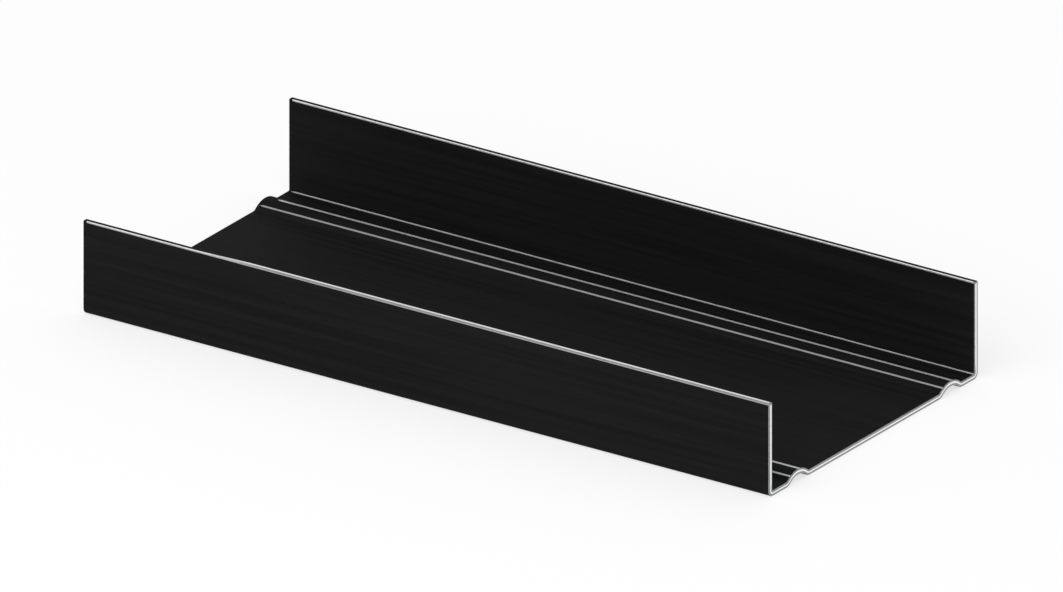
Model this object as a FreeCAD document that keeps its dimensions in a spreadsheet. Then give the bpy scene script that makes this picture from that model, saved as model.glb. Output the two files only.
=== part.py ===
import FreeCAD, Part
import math
import os
import Sketcher

# Drywall track: one length of roll-formed steel sheet that holds the ends of the wall studs. Its web lies
# flat on the floor, stiffened by two beads rolled along it, and a leg turned up along each side keeps the
# studs in line. X runs along the track, Y across it from the near leg to the far leg, and Z up from under
# the middle of the web.

SIZES = [
    ("stud_width", 88.9, "width of the stud that stands between the legs"),
    ("stud_clearance", 0.3, "room between the stud and each leg"),
    ("sheet_gauge", 1.4, "thickness of the sheet"),
    ("track_length", 206.4, "from one cut end to the other"),
    ("near_leg_height", 25.4, "near leg, from under the web to its edge"),
    ("far_leg_height", 26.2, "far leg, rolled a little taller than the near one"),
    ("bend_radius", 0.3, "inside of the bend where a leg turns up"),
    ("near_bead_inset", 12.9, "outer face of the near leg to the middle of the bead beside it"),
    ("far_bead_inset", 12.0, "outer face of the far leg to the middle of the bead beside it"),
    ("bead_rise", 1.85, "height of a bead above the web"),
    ("bead_crest_radius", 5.5, "underside of a bead's rounded crest"),
    ("bead_root_radius", 1.3, "fillet where a bead rises from the top of the web"),
]

doc = FreeCAD.newDocument("drywall_track")
sizes = doc.addObject("Spreadsheet::Sheet", "sizes")
for row, (name, value, meaning) in enumerate(SIZES, start=1):
    sizes.set(f"A{row}", meaning)
    sizes.set(f"B{row}", str(value))
    sizes.setAlias(f"B{row}", name)
doc.recompute()

# The outer face of the sheet is the outside of the legs and the underside of the web. A bead leaves the
# web and comes back to it through the same angle, so its two radii and its rise fix that angle and how
# wide the bead is.
half_width = sizes.stud_width / 2 + sizes.stud_clearance + sizes.sheet_gauge
bend_outside = sizes.bend_radius + sizes.sheet_gauge
root_outside = sizes.bead_root_radius + sizes.sheet_gauge
crest_drop = sizes.bead_crest_radius - sizes.bead_rise
bead_middles = (sizes.near_bead_inset - half_width, half_width - sizes.far_bead_inset)
bead_arms = sizes.bead_crest_radius + root_outside
bead_turn = math.acos((root_outside + crest_drop) / bead_arms)
bead_half = bead_arms * math.sin(bead_turn)

# The stretches of one face of the sheet, in order from the edge of the near leg to that of the far leg.
STRETCHES = [
    "near_leg", "near_bend",
    "near_web", "near_outer_root", "near_crest", "near_inner_root",
    "middle_web", "far_inner_root", "far_crest", "far_outer_root", "far_web",
    "far_bend", "far_leg",
]
UP, LEFT, DOWN, RIGHT = (quarter * math.pi / 2 for quarter in (1, 2, 3, 4))
START, END, CENTRE = 1, 2, 3
ORIGIN = (-1, 1)
WEB_LINE, MIDDLE_LINE = -1, -2

track = doc.addObject("PartDesign::Body", "track")
track.Label = "drywall_track"
section = track.newObject("Sketcher::SketchObject", "section")
planes = {plane.Role: plane for plane in track.Origin.OriginFeatures}
section.AttachmentSupport = [(planes["YZ_Plane"], "")]
section.MapMode = "FlatFace"


def constrain(kind, *points):
    """Hold drawn edges or points to each other, and give the constraint's number."""
    return section.addConstraint(Sketcher.Constraint(kind, *points))


def dimension(kind, points, drawn, formula):
    """Tie a drawn distance or radius to the sizes that drive it."""
    number = constrain(kind, *points, drawn)
    section.setExpression(f"Constraints[{number}]", formula)


def add_line(start, end):
    """Draw a straight stretch, and give its number and its first and last points."""
    line = Part.LineSegment(FreeCAD.Vector(*start), FreeCAD.Vector(*end))
    return section.addGeometry(line), START, END


def add_arc(centre, radius, start, end):
    """Draw an arc from one angle to another, and give its number and its first and last points."""
    circle = Part.Circle(FreeCAD.Vector(*centre), FreeCAD.Vector(0, 0, 1), radius)
    number = section.addGeometry(Part.ArcOfCircle(circle, min(start, end), max(start, end)))
    return (number, START, END) if start < end else (number, END, START)


def draw_face(depth):
    """Draw one face of the sheet, that deep inside its outer face, with each stretch tangent to the next."""
    leg = half_width - depth
    bend = half_width - bend_outside
    crest_radius = sizes.bead_crest_radius + depth
    drawn = [
        add_line((-leg, sizes.near_leg_height), (-leg, bend_outside)),
        add_arc((-bend, bend_outside), bend_outside - depth, LEFT, DOWN),
    ]
    web_start = -bend
    for middle in bead_middles:
        rise, fall = middle - bead_half, middle + bead_half
        drawn += [
            add_line((web_start, depth), (rise, depth)),
            add_arc((rise, root_outside), root_outside - depth, DOWN, DOWN + bead_turn),
            add_arc((middle, -crest_drop), crest_radius, UP + bead_turn, UP - bead_turn),
            add_arc((fall, root_outside), root_outside - depth, DOWN - bead_turn, DOWN),
        ]
        web_start = fall
    drawn += [
        add_line((web_start, depth), (bend, depth)),
        add_arc((bend, bend_outside), bend_outside - depth, DOWN, RIGHT),
        add_line((leg, bend_outside), (leg, sizes.far_leg_height)),
    ]
    for (number, _, last), (following, first, _) in zip(drawn, drawn[1:]):
        constrain("Tangent", number, last, following, first)
    return {stretch: number for stretch, (number, _, _) in zip(STRETCHES, drawn)}


# Legs stand upright and the web lies level. Every arc of the inner face shares its centre with that of the
# outer face, so the sheet has one thickness all the way round.
outer = draw_face(0)
inner = draw_face(sizes.sheet_gauge)
for stretch in STRETCHES:
    if stretch.endswith("leg"):
        constrain("Vertical", outer[stretch])
        constrain("Vertical", inner[stretch])
    elif stretch.endswith("web"):
        constrain("Horizontal", outer[stretch])
        constrain("Horizontal", inner[stretch])
        constrain("PointOnObject", outer[stretch], START, WEB_LINE)
    else:
        constrain("Coincident", outer[stretch], CENTRE, inner[stretch], CENTRE)
for stretch in ("near_inner_root", "far_inner_root", "far_outer_root"):
    constrain("Equal", outer["near_outer_root"], outer[stretch])
constrain("Equal", outer["near_crest"], outer["far_crest"])
constrain("Symmetric", outer["near_leg"], END, outer["far_leg"], START, MIDDLE_LINE)
constrain("Horizontal", outer["near_crest"], CENTRE, outer["far_crest"], CENTRE)

# The slit edge along the top of each leg is square to it, and closes the section.
for leg, tip in (("near_leg", START), ("far_leg", END)):
    outer_tip = section.getPoint(outer[leg], tip)
    inner_tip = section.getPoint(inner[leg], tip)
    slit_edge, first, last = add_line(outer_tip, inner_tip)
    constrain("Coincident", slit_edge, first, outer[leg], tip)
    constrain("Coincident", slit_edge, last, inner[leg], tip)
    constrain("Horizontal", slit_edge)

# Sizes across the track, then heights, then radii, and last the places of the two crests.
dimension(
    "DistanceX", (outer["near_leg"], END, outer["far_leg"], START), 2 * half_width,
    "sizes.stud_width + 2 * (sizes.stud_clearance + sizes.sheet_gauge)",
)
dimension(
    "DistanceX", (outer["near_leg"], END, inner["near_leg"], END), sizes.sheet_gauge,
    "sizes.sheet_gauge",
)
dimension(
    "DistanceY", (*ORIGIN, outer["near_leg"], START), sizes.near_leg_height,
    "sizes.near_leg_height",
)
dimension(
    "DistanceY", (*ORIGIN, outer["far_leg"], END), sizes.far_leg_height,
    "sizes.far_leg_height",
)
dimension("Radius", (outer["near_bend"],), bend_outside, "sizes.bend_radius + sizes.sheet_gauge")
dimension("Radius", (outer["near_outer_root"],), root_outside, "sizes.bead_root_radius + sizes.sheet_gauge")
dimension("Radius", (outer["near_crest"],), sizes.bead_crest_radius, "sizes.bead_crest_radius")
dimension(
    "DistanceX", (outer["near_leg"], END, outer["near_crest"], CENTRE), sizes.near_bead_inset,
    "sizes.near_bead_inset",
)
dimension(
    "DistanceX", (outer["far_crest"], CENTRE, outer["far_leg"], START), sizes.far_bead_inset,
    "sizes.far_bead_inset",
)
dimension(
    "DistanceY", (outer["near_crest"], CENTRE, *ORIGIN), crest_drop,
    "sizes.bead_crest_radius - sizes.bead_rise",
)

# The section is rolled out along the track, half of the length to each side of the origin.
rolled_sheet = track.newObject("PartDesign::Pad", "rolled_sheet")
rolled_sheet.Profile = section
rolled_sheet.SideType = "Symmetric"
rolled_sheet.setExpression("Length", "sizes.track_length")
track.Tip = rolled_sheet
track.Placement = FreeCAD.Placement()
doc.recompute()

for item in doc.Objects:
    if "Invalid" in item.State or "Error" in item.State:
        raise RuntimeError(f"{item.Label} did not build: {item.State}")
if not section.FullyConstrained:
    raise RuntimeError("the section is not fully fixed by its sizes")
if track.Shape.isNull() or not track.Shape.isValid():
    raise RuntimeError(f"{track.Label} has no valid solid")

os.makedirs("parts", exist_ok=True)
track.Shape.exportStep(f"parts/{track.Label}.step")
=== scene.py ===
import math

import bmesh
import bpy
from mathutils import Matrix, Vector


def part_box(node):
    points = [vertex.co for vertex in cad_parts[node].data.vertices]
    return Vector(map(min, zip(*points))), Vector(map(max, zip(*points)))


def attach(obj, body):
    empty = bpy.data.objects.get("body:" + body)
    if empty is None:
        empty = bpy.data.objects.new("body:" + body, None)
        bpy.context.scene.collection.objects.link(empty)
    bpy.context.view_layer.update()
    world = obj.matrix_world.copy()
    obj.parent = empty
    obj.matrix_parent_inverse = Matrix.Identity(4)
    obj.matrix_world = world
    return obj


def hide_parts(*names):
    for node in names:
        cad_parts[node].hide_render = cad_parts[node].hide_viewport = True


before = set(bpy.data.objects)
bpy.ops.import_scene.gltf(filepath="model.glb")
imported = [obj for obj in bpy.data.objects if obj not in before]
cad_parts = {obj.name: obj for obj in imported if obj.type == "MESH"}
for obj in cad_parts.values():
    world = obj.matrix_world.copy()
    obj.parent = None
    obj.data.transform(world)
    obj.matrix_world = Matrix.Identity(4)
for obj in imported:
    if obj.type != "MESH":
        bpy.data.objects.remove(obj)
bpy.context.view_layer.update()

# Rolled sheet
# The whole track is one strip of steel sheet, coated black on both faces and run through rolls into a
# channel: a flat web with two raised beads, and a leg turned up along each side. The legs are slit along the
# top and the track is cut square at both ends, so bare metal shows there.
half_length, half_width, far_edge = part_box("drywall_track")[1]
cad_corners = [corner.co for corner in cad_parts["drywall_track"].data.vertices]
near_edge = max(corner.z for corner in cad_corners if corner.y < 0)
gauge = 0.0014
bend_outside = 0.0017
near_bead_inset = 0.0129
far_bead_inset = 0.0120
bead_rise = 0.00185
crest_radius = 0.0055
root_outside = 0.0027
slit_rounding = 0.00015
cut_rounding = 0.00010

bend_middle = half_width - bend_outside
bead_middles = (near_bead_inset - half_width, half_width - far_bead_inset)
crest_drop = crest_radius - bead_rise
bead_arms = crest_radius + root_outside
bead_turn = math.degrees(math.acos((root_outside + crest_drop) / bead_arms))
bead_half = bead_arms * math.sin(math.radians(bead_turn))
bend_steps = 8
root_steps = 6
crest_steps = 16
corner_steps = 3


def arc(centre, radius, start, end, steps):
    """Points along an arc from one angle to another, in degrees, both ends included."""
    turns = [math.radians(start + (end - start) * step / steps) for step in range(steps + 1)]
    return [(centre[0] + radius * math.cos(turn), centre[1] + radius * math.sin(turn)) for turn in turns]


def web_and_bends(depth):
    """Points (y, z) across the web and round both bends, that deep below the sheet's outer face."""
    bend = bend_outside - depth
    root = root_outside - depth
    crest = crest_radius + depth
    points = arc((-bend_middle, bend_outside), bend, 180, 270, bend_steps)
    for middle in bead_middles:
        points += arc((middle - bead_half, root_outside), root, 270, 270 + bead_turn, root_steps)
        points += arc((middle, -crest_drop), crest, 90 + bead_turn, 90 - bead_turn, crest_steps)[1:]
        points += arc((middle + bead_half, root_outside), root, 270 - bead_turn, 270, root_steps)[1:]
    return points + arc((bend_middle, bend_outside), bend, 270, 360, bend_steps)


def sheet_side(inset, inner):
    """One side of the sheet, drawn in by the inset, from the top of the near leg to the top of the far leg.

    It takes in the rounded corner at each end. A point is its y, its z and its depth below the outer face.
    """
    corner = half_width - (gauge - slit_rounding if inner else slit_rounding)
    radius = slit_rounding - inset
    near_turn, far_turn = (0, 180) if inner else (180, 0)
    near_corner = arc((-corner, near_edge - slit_rounding), radius, 90, near_turn, corner_steps)
    far_corner = arc((corner, far_edge - slit_rounding), radius, far_turn, 90, corner_steps)
    depth = gauge - inset if inner else inset
    points = [(y, z, half_width - abs(y)) for y, z in near_corner]
    points += [(y, z, depth) for y, z in web_and_bends(depth)]
    return points + [(y, z, half_width - abs(y)) for y, z in far_corner]


# Rings of the outline stand along the track: a few over each rounded cut, where the outline draws in, and
# even ones between, the first and last of them a millimetre from the cuts.
run_steps = 24
end_reach = 0.001
run_end = half_length - cut_rounding
even_run = half_length - end_reach
cut_rings = []
for step in range(corner_steps):
    turn = math.radians(90 * (1 - step / corner_steps))
    cut_rings.append((run_end + cut_rounding * math.sin(turn), cut_rounding * (1 - math.cos(turn))))
cut_rings.append((run_end, 0.0))
stations = [(-x, inset) for x, inset in cut_rings]
stations += [(even_run * (2 * step / run_steps - 1), 0.0) for step in range(run_steps + 1)]
stations += cut_rings[::-1]

sheet = bmesh.new()
depth_layer = sheet.verts.layers.float.new("depth")
rings = []
for x, inset in stations:
    ring = []
    for y, z, depth in sheet_side(inset, False) + sheet_side(inset, True)[::-1]:
        corner = sheet.verts.new((x, y, z))
        corner[depth_layer] = depth
        ring.append(corner)
    rings.append(ring)
around = len(rings[0])
half_round = around // 2

# The map for baking has four rows: the outer and the inner side of the sheet, each with one slit edge at its
# end, and a thin row for each cut end. The last millimetre before a cut is drawn out tenfold.
map_layer = sheet.loops.layers.uv.new("OFBake")
map_gap = 0.004
cut_row_height = 0.016
side_row_height = (1 - 5 * map_gap) / 2 - cut_row_height
side_row_starts = (cut_row_height + 2 * map_gap, 0.5 + map_gap / 2)
cut_row_starts = (map_gap, 1 - map_gap - cut_row_height)
end_stretch = 10

middle_ring = rings[len(rings) // 2]
across_map = []
for start in (0, half_round):
    row = [middle_ring[point % around].co for point in range(start, start + half_round + 1)]
    lengths = [(after - before).length for before, after in zip(row, row[1:])]
    shares = [sum(lengths[:count]) / sum(lengths) for count in range(half_round + 1)]
    across_map.append([map_gap + (1 - 2 * map_gap) * share for share in shares])


def along_map(x):
    """How far up its row on the map a ring stands, from 0 to 1."""
    extra = end_stretch - 1
    past_even = math.copysign(max(abs(x) - even_run, 0), x)
    return 0.5 + 0.5 * (x + extra * past_even) / (half_length + extra * end_reach)


COATED, BARE = 0, 1


def add_face(corners, spots, finish_number):
    """Add a face of the sheet, with each corner's spot on the map."""
    face = sheet.faces.new(corners)
    face.material_index = finish_number
    face.smooth = True
    for corner, spot in zip(face.loops, spots):
        corner[map_layer].uv = spot


def is_coated(point):
    """Whether the strip after this point of a ring is on a coated face, not over a slit edge."""
    along_side = point if point < half_round else around - 2 - point
    return corner_steps <= along_side < half_round - 1 - corner_steps


for (x, inset), (x_after, inset_after), ring, ring_after in zip(stations, stations[1:], rings, rings[1:]):
    for point in range(around):
        after = (point + 1) % around
        side, step = divmod(point, half_round)
        left, right = across_map[side][step:step + 2]
        low, high = (side_row_starts[side] + side_row_height * along_map(end) for end in (x, x_after))
        coated = is_coated(point) and inset == inset_after == 0
        add_face(
            (ring[point], ring[after], ring_after[after], ring_after[point]),
            ((left, low), (right, low), (right, high), (left, high)),
            COATED if coated else BARE,
        )
for ring, low, facing in ((rings[0], cut_row_starts[0], -1), (rings[-1], cut_row_starts[1], 1)):
    high = low + cut_row_height
    for point in range(half_round - 1):
        left, right = across_map[0][point:point + 2]
        corners = (ring[point], ring[point + 1], ring[around - 2 - point], ring[around - 1 - point])
        spots = ((left, low), (right, low), (right, high), (left, high))
        add_face(corners[::facing], spots[::facing], BARE)

rolled_sheet = bpy.data.objects.new("rolled_sheet", bpy.data.meshes.new("rolled_sheet"))
sheet.to_mesh(rolled_sheet.data)
sheet.free()
bpy.context.scene.collection.objects.link(rolled_sheet)
rolled_sheet.modifiers.new("flat_faces_stay_flat", "WEIGHTED_NORMAL")


class Wire:
    """One value on the wires of a finish. A sum of wires and numbers adds the Math nodes that work it out."""

    def __init__(self, finish, socket):
        self.finish = finish
        self.socket = socket

    def out(self, name):
        """Another output of the node that this value comes from."""
        return Wire(self.finish, self.socket.node.outputs[name])

    def work_out(self, operation, *values):
        return self.finish.node("ShaderNodeMath", {"operation": operation}, dict(enumerate(values)))

    def __add__(self, other):
        return self.work_out("ADD", self, other)

    def __sub__(self, other):
        return self.work_out("SUBTRACT", self, other)

    def __rsub__(self, other):
        return self.work_out("SUBTRACT", other, self)

    def __mul__(self, other):
        return self.work_out("MULTIPLY", self, other)

    def __gt__(self, other):
        return self.work_out("GREATER_THAN", self, other)

    def __lt__(self, other):
        return self.work_out("LESS_THAN", self, other)

    __radd__ = __add__
    __rmul__ = __mul__

    def least(self, other):
        return self.work_out("MINIMUM", self, other)

    def most(self, other):
        return self.work_out("MAXIMUM", self, other)

    def spread(self, low, high):
        """0 where this value is under low, up to 1 where it is over high."""
        return self.finish.node(
            "ShaderNodeMapRange", {"interpolation_type": "SMOOTHSTEP"},
            {"Value": self, "From Min": low, "From Max": high},
        )

    def within(self, reach, blur=0.00004):
        """1 where this distance is under the reach, 0 where it is over, with a narrow blur between."""
        return 1 - self.spread(reach - blur, reach + blur)


class Finish:
    """The nodes of one surface, or of the room round the track."""

    def __init__(self, owner):
        owner.use_nodes = True
        self.tree = owner.node_tree
        self.tree.nodes.clear()

    def node(self, kind, settings, inputs):
        """Add a node, its settings first and then its inputs, values or wires, and give its first output."""
        made = self.tree.nodes.new(kind)
        for name, value in settings.items():
            setattr(made, name, value)
        for name, value in inputs.items():
            if isinstance(value, Wire):
                self.tree.links.new(value.socket, made.inputs[name])
            else:
                made.inputs[name].default_value = value
        return Wire(self, made.outputs[0]) if made.outputs else None

    def place(self):
        """Where a point of the track is, in metres: the whole place, then its X, its Y and its Z."""
        whole = self.node("ShaderNodeTexCoord", {}, {}).out("Object")
        parts = self.node("ShaderNodeSeparateXYZ", {}, {"Vector": whole})
        return whole, parts.out("X"), parts.out("Y"), parts.out("Z")

    def clouds(self, place, to_the_metre, detail=2.0):
        """Cloudy noise from 0 to 1, with so many clouds to the metre along X, Y and Z."""
        scaled = self.node("ShaderNodeVectorMath", {"operation": "MULTIPLY"}, {0: place, 1: to_the_metre})
        return self.node("ShaderNodeTexNoise", {}, {"Vector": scaled, "Scale": 1.0, "Detail": detail})

    def mix(self, share, first, second):
        """The first colour where the share is 0, and the second where it is 1.

        A Mix node's sockets for numbers, vectors and colours share their names, so colours go by number.
        """
        colours = {"Factor": share, 6: first, 7: second}
        return self.node("ShaderNodeMix", {"data_type": "RGBA"}, colours).out(2)


# The coating is baked on, matt black, with a fine grain and faint streaks the way the sheet ran through the
# rolls. It has rubbed through in thin lines along the bends and the beads, and chipped back a little from
# the right-hand cut and the slit edges. By the left end, and where it wraps a slit edge, it is whole.
coating_black = (0.0068, 0.0068, 0.0070, 1)
coating_streak = (0.0101, 0.0101, 0.0104, 1)
chipped_grey = (0.38, 0.383, 0.39, 1)
bend_grey = (0.52, 0.523, 0.53, 1)
# The shoulder lines are rubbed wear, but the near bead's is painted a lighter grey than the far one's. That
# extra lightness is painted light, set against the shade that the near leg casts on it.
shoulder_greys_wear_and_painted_light = ((0.50, 0.503, 0.51, 1), (0.34, 0.342, 0.348, 1))
crest_grey = (0.60, 0.605, 0.615, 1)
grain_to_the_metre = (1500, 1500, 1500)
grain_height = 0.00002
streaks_to_the_metre = (14, 700, 700)
streak_detail = 3.0
streak_low = 0.3
streak_high = 0.7
chips_to_the_metre = (260, 2600, 2600)
raggedness = 0.00010
line_width = 0.00050
line_start = 0.0005
shoulder_lean = -27.8
crest_rub_width = 0.0010
crest_rub_start = 0.0032
crest_rub_lean = 6.0
rub_taper = 0.0012
slit_chips = 0.00025
cut_chips = 0.00008
wrap_start = -0.0735
wrap_end = -0.0455
corner_wrap = 0.0010
coating_roughness = 0.60
grain_roughness = 0.12
streak_roughness = 0.06
worn_smoothness = 0.20
worn_metal = 0.5
coating_gloss = 0.04
bump_strength = 0.3

crest_top = crest_radius + gauge
rub_lines = []
for bend in (-bend_middle, bend_middle):
    rub_lines.append(((0, bend, gauge), line_width, line_start, bend_grey))
# The near bead comes first, so its shoulder line takes the lighter grey, which is partly painted light.
for middle, shoulder_grey_wear_and_painted_light in zip(bead_middles, shoulder_greys_wear_and_painted_light):
    for lean, width, start, grey in (
        (shoulder_lean, line_width, line_start, shoulder_grey_wear_and_painted_light),
        (crest_rub_lean, crest_rub_width, crest_rub_start, crest_grey),
    ):
        turn = math.radians(lean)
        line = (0, middle + crest_top * math.sin(turn), crest_top * math.cos(turn) - crest_drop)
        rub_lines.append((line, width, start, grey))


def slit_height(y):
    """How high the slit edge of the leg on this side of the track stands."""
    return near_edge + (far_edge - near_edge) * (y > 0)


def near_wrap(x, y):
    """1 on the near side towards the left end, where the coating wraps the slit edge, fading to 0."""
    return (y < 0) * (1 - x.spread(wrap_start, wrap_end))


coating = bpy.data.materials.new("black_coating")
finish = Finish(coating)
place, x, y, z = finish.place()
grain = finish.clouds(place, grain_to_the_metre)
streaks = finish.clouds(place, streaks_to_the_metre, streak_detail).spread(streak_low, streak_high)
ragged = (finish.clouds(place, chips_to_the_metre) - 0.5) * raggedness

far_outside = y > half_width - gauge / 2
near_inside = (y > gauge / 2 - half_width) * near_wrap(x, y)
chip_reach = (slit_rounding + slit_chips) * (1 - far_outside - near_inside)
slit_chipped = (slit_height(y) - z + ragged).within(chip_reach) * (x > corner_wrap - half_length)
cut_chipped = (half_length - x + ragged).within(cut_rounding + cut_chips)
chipped = slit_chipped.most(cut_chipped)
worn = chipped
colour = finish.mix(streaks, coating_black, coating_streak)
across = finish.node("ShaderNodeVectorMath", {"operation": "MULTIPLY"}, {0: place, 1: (0, 1, 1)})
for line, width, start, grey in rub_lines:
    gap = finish.node("ShaderNodeVectorMath", {"operation": "DISTANCE"}, {0: across, 1: line}).out("Value")
    from_start = x + (half_length - start)
    rubbed = (gap + ragged).within(from_start.spread(0, rub_taper) * (width / 2)) * (from_start > 0)
    colour = finish.mix(rubbed, colour, grey)
    worn = worn.most(rubbed)

bump = {"Strength": bump_strength, "Distance": grain_height, "Height": grain}
roughness = coating_roughness + grain_roughness * grain + streak_roughness * streaks
shader = finish.node("ShaderNodeBsdfPrincipled", {}, {
    "Base Color": finish.mix(chipped, colour, chipped_grey),
    "Metallic": worn * worn_metal,
    "Roughness": roughness - worn_smoothness * worn,
    "Specular IOR Level": coating_gloss,
    "Normal": finish.node("ShaderNodeBump", {}, bump),
})
finish.node("ShaderNodeOutputMaterial", {}, {"Surface": shader})
rolled_sheet.data.materials.append(coating)

# The slit edges and the cut ends are bare sheared metal: bright in the middle of the sheet, and duller along
# the corners, where the blade dragged zinc over them. The coating still wraps the corners of the left end,
# most of the far leg's slit edge from outside, and that of the near leg from inside, towards the left end.
bright_metal = (0.92, 0.935, 0.945, 1)
dull_metal = (0.30, 0.303, 0.31, 1)
burrs_to_the_metre = (900, 900, 900)
marks_to_the_metre = (3000, 3000, 300)
mark_height = 0.00003
web_outer_margin = 0.00056
web_inner_margin = 0.00046
leg_outer_margin = 0.00054
leg_inner_margin = 0.00026
corner_margin = 0.00050
leg_start = 0.0045
cut_wrap = 0.00030
slit_wrap = 0.00115
metal_roughness = 0.34
mark_roughness = 0.16
wrap_roughness = 0.2

sheared = bpy.data.materials.new("sheared_edge")
finish = Finish(sheared)
place, x, y, z = finish.place()
depth = finish.node("ShaderNodeAttribute", {"attribute_name": "depth"}, {}).out("Fac")
ragged = (finish.clouds(place, burrs_to_the_metre) - 0.5) * raggedness
shear_marks = finish.clouds(place, marks_to_the_metre)
from_outer = depth + ragged
from_inner = gauge - depth + ragged
left_cut = x < -run_end
right_cut = x > run_end
slit = 1 - left_cut - right_cut
far_slit = slit * (y > 0)
near_slit = slit * near_wrap(x, y)
bare_across = 1 - far_slit - near_slit

on_leg = z.spread(gauge, leg_start)
outer_margin = web_outer_margin + (leg_outer_margin - web_outer_margin) * on_leg
inner_margin = web_inner_margin + (leg_inner_margin - web_inner_margin) * on_leg
slit_end = (half_length - x + ragged).within(corner_margin) * slit
leg_top = (slit_height(y) - z + ragged).within(corner_margin) * right_cut
dull = from_outer.within(outer_margin).most(from_inner.within(inner_margin)) * bare_across
dull = dull.most(slit_end + leg_top)
metal = finish.mix(dull, bright_metal, dull_metal)

wrapped = from_outer.least(from_inner).within(cut_wrap) * left_cut
wrapped = wrapped.most(from_outer.within(slit_wrap * far_slit))
wrapped = wrapped.most(from_inner.within(slit_wrap * near_slit))
wrapped = wrapped.most((half_length + x + ragged).within(corner_wrap) * slit)

bump = {"Strength": bump_strength, "Distance": mark_height, "Height": shear_marks}
shader = finish.node("ShaderNodeBsdfPrincipled", {}, {
    "Base Color": finish.mix(wrapped, metal, coating_black),
    "Metallic": 1 - wrapped,
    "Roughness": metal_roughness + mark_roughness * shear_marks + wrap_roughness * wrapped,
    "Specular IOR Level": coating_gloss,
    "Normal": finish.node("ShaderNodeBump", {}, bump),
})
finish.node("ShaderNodeOutputMaterial", {}, {"Surface": shader})
rolled_sheet.data.materials.append(sheared)

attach(rolled_sheet, "root")
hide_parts("drywall_track")

# Floor
# A plain white floor, wide enough to fill every view. It takes the track's soft shadow, and it looks as white
# to the camera and to bare metal as the paper behind a product picture.
floor_size = 12.0
floor_white = (0.96, 0.96, 0.96, 1)
paper_white = (1, 1, 1, 1)
paper_level = 1.0
paper_share = 0.7
floor_shape = bmesh.new()
bmesh.ops.create_grid(floor_shape, x_segments=1, y_segments=1, size=floor_size / 2)
floor = bpy.data.objects.new("floor", bpy.data.meshes.new("floor"))
floor_shape.to_mesh(floor.data)
floor_shape.free()
bpy.context.scene.collection.objects.link(floor)
floor_paint = bpy.data.materials.new("floor_paint")
finish = Finish(floor_paint)
paint = finish.node("ShaderNodeBsdfDiffuse", {}, {"Color": floor_white})
paper = finish.node("ShaderNodeEmission", {}, {"Color": paper_white, "Strength": paper_level})
rays = finish.node("ShaderNodeLightPath", {}, {})
seen = rays.out("Is Camera Ray").most(rays.out("Is Glossy Ray")).most(rays.out("Is Transmission Ray"))
shader = finish.node("ShaderNodeMixShader", {}, {0: seen * paper_share, 1: paint, 2: paper})
finish.node("ShaderNodeOutputMaterial", {}, {"Surface": shader})
floor.data.materials.append(floor_paint)

# Studio light
# An even white room, and one large soft lamp above the near side, which lights the legs and gives the shadow
# its direction.
room_white = (1, 1, 1, 1)
room_level = 0.78
lamp_power = 13.0
lamp_size = 1.6
lamp_place = Vector((0.1, -1.3, 1.1))
room = bpy.data.worlds.new("white_room")
finish = Finish(room)
light = finish.node("ShaderNodeBackground", {}, {"Color": room_white, "Strength": room_level})
finish.node("ShaderNodeOutputWorld", {}, {"Surface": light})
bpy.context.scene.world = room
lamp = bpy.data.objects.new("soft_lamp", bpy.data.lights.new("soft_lamp", "AREA"))
lamp.data.energy = lamp_power
lamp.data.size = lamp_size
lamp.location = lamp_place
lamp.rotation_euler = (-lamp_place).to_track_quat("-Z", "Y").to_euler()
bpy.context.scene.collection.objects.link(lamp)

# Camera
# The photograph is a parallel view: lines along the track fall to the right at 15 degrees, and lines across
# it rise at 30. That fixes the angle, and the corner under the near leg at the right end fixes the framing.
photo_size = (1063, 592)
corner_pixel = (769.0, 498.1)
pixels_to_the_metre = 4020.0
azimuth = math.radians(34.265)
elevation = math.radians(23.161)
camera_distance = 0.8
towards = Vector((
    math.sin(azimuth) * math.cos(elevation),
    -math.cos(azimuth) * math.cos(elevation),
    math.sin(elevation),
))
turned = (-towards).to_track_quat("-Z", "Y")
right = turned @ Vector((1, 0, 0))
up = turned @ Vector((0, 1, 0))
aim = Vector((half_length, -half_width, 0))
aim += right * (photo_size[0] / 2 - corner_pixel[0]) / pixels_to_the_metre
aim += up * (corner_pixel[1] - photo_size[1] / 2) / pixels_to_the_metre
camera = bpy.data.objects.new("camera", bpy.data.cameras.new("camera"))
camera.data.type = "ORTHO"
camera.data.ortho_scale = photo_size[0] / pixels_to_the_metre
camera.location = aim + towards * camera_distance
camera.rotation_mode = "QUATERNION"
camera.rotation_quaternion = turned
bpy.context.scene.collection.objects.link(camera)
bpy.context.scene.camera = camera

bpy.context.scene.view_settings.view_transform = "Standard"
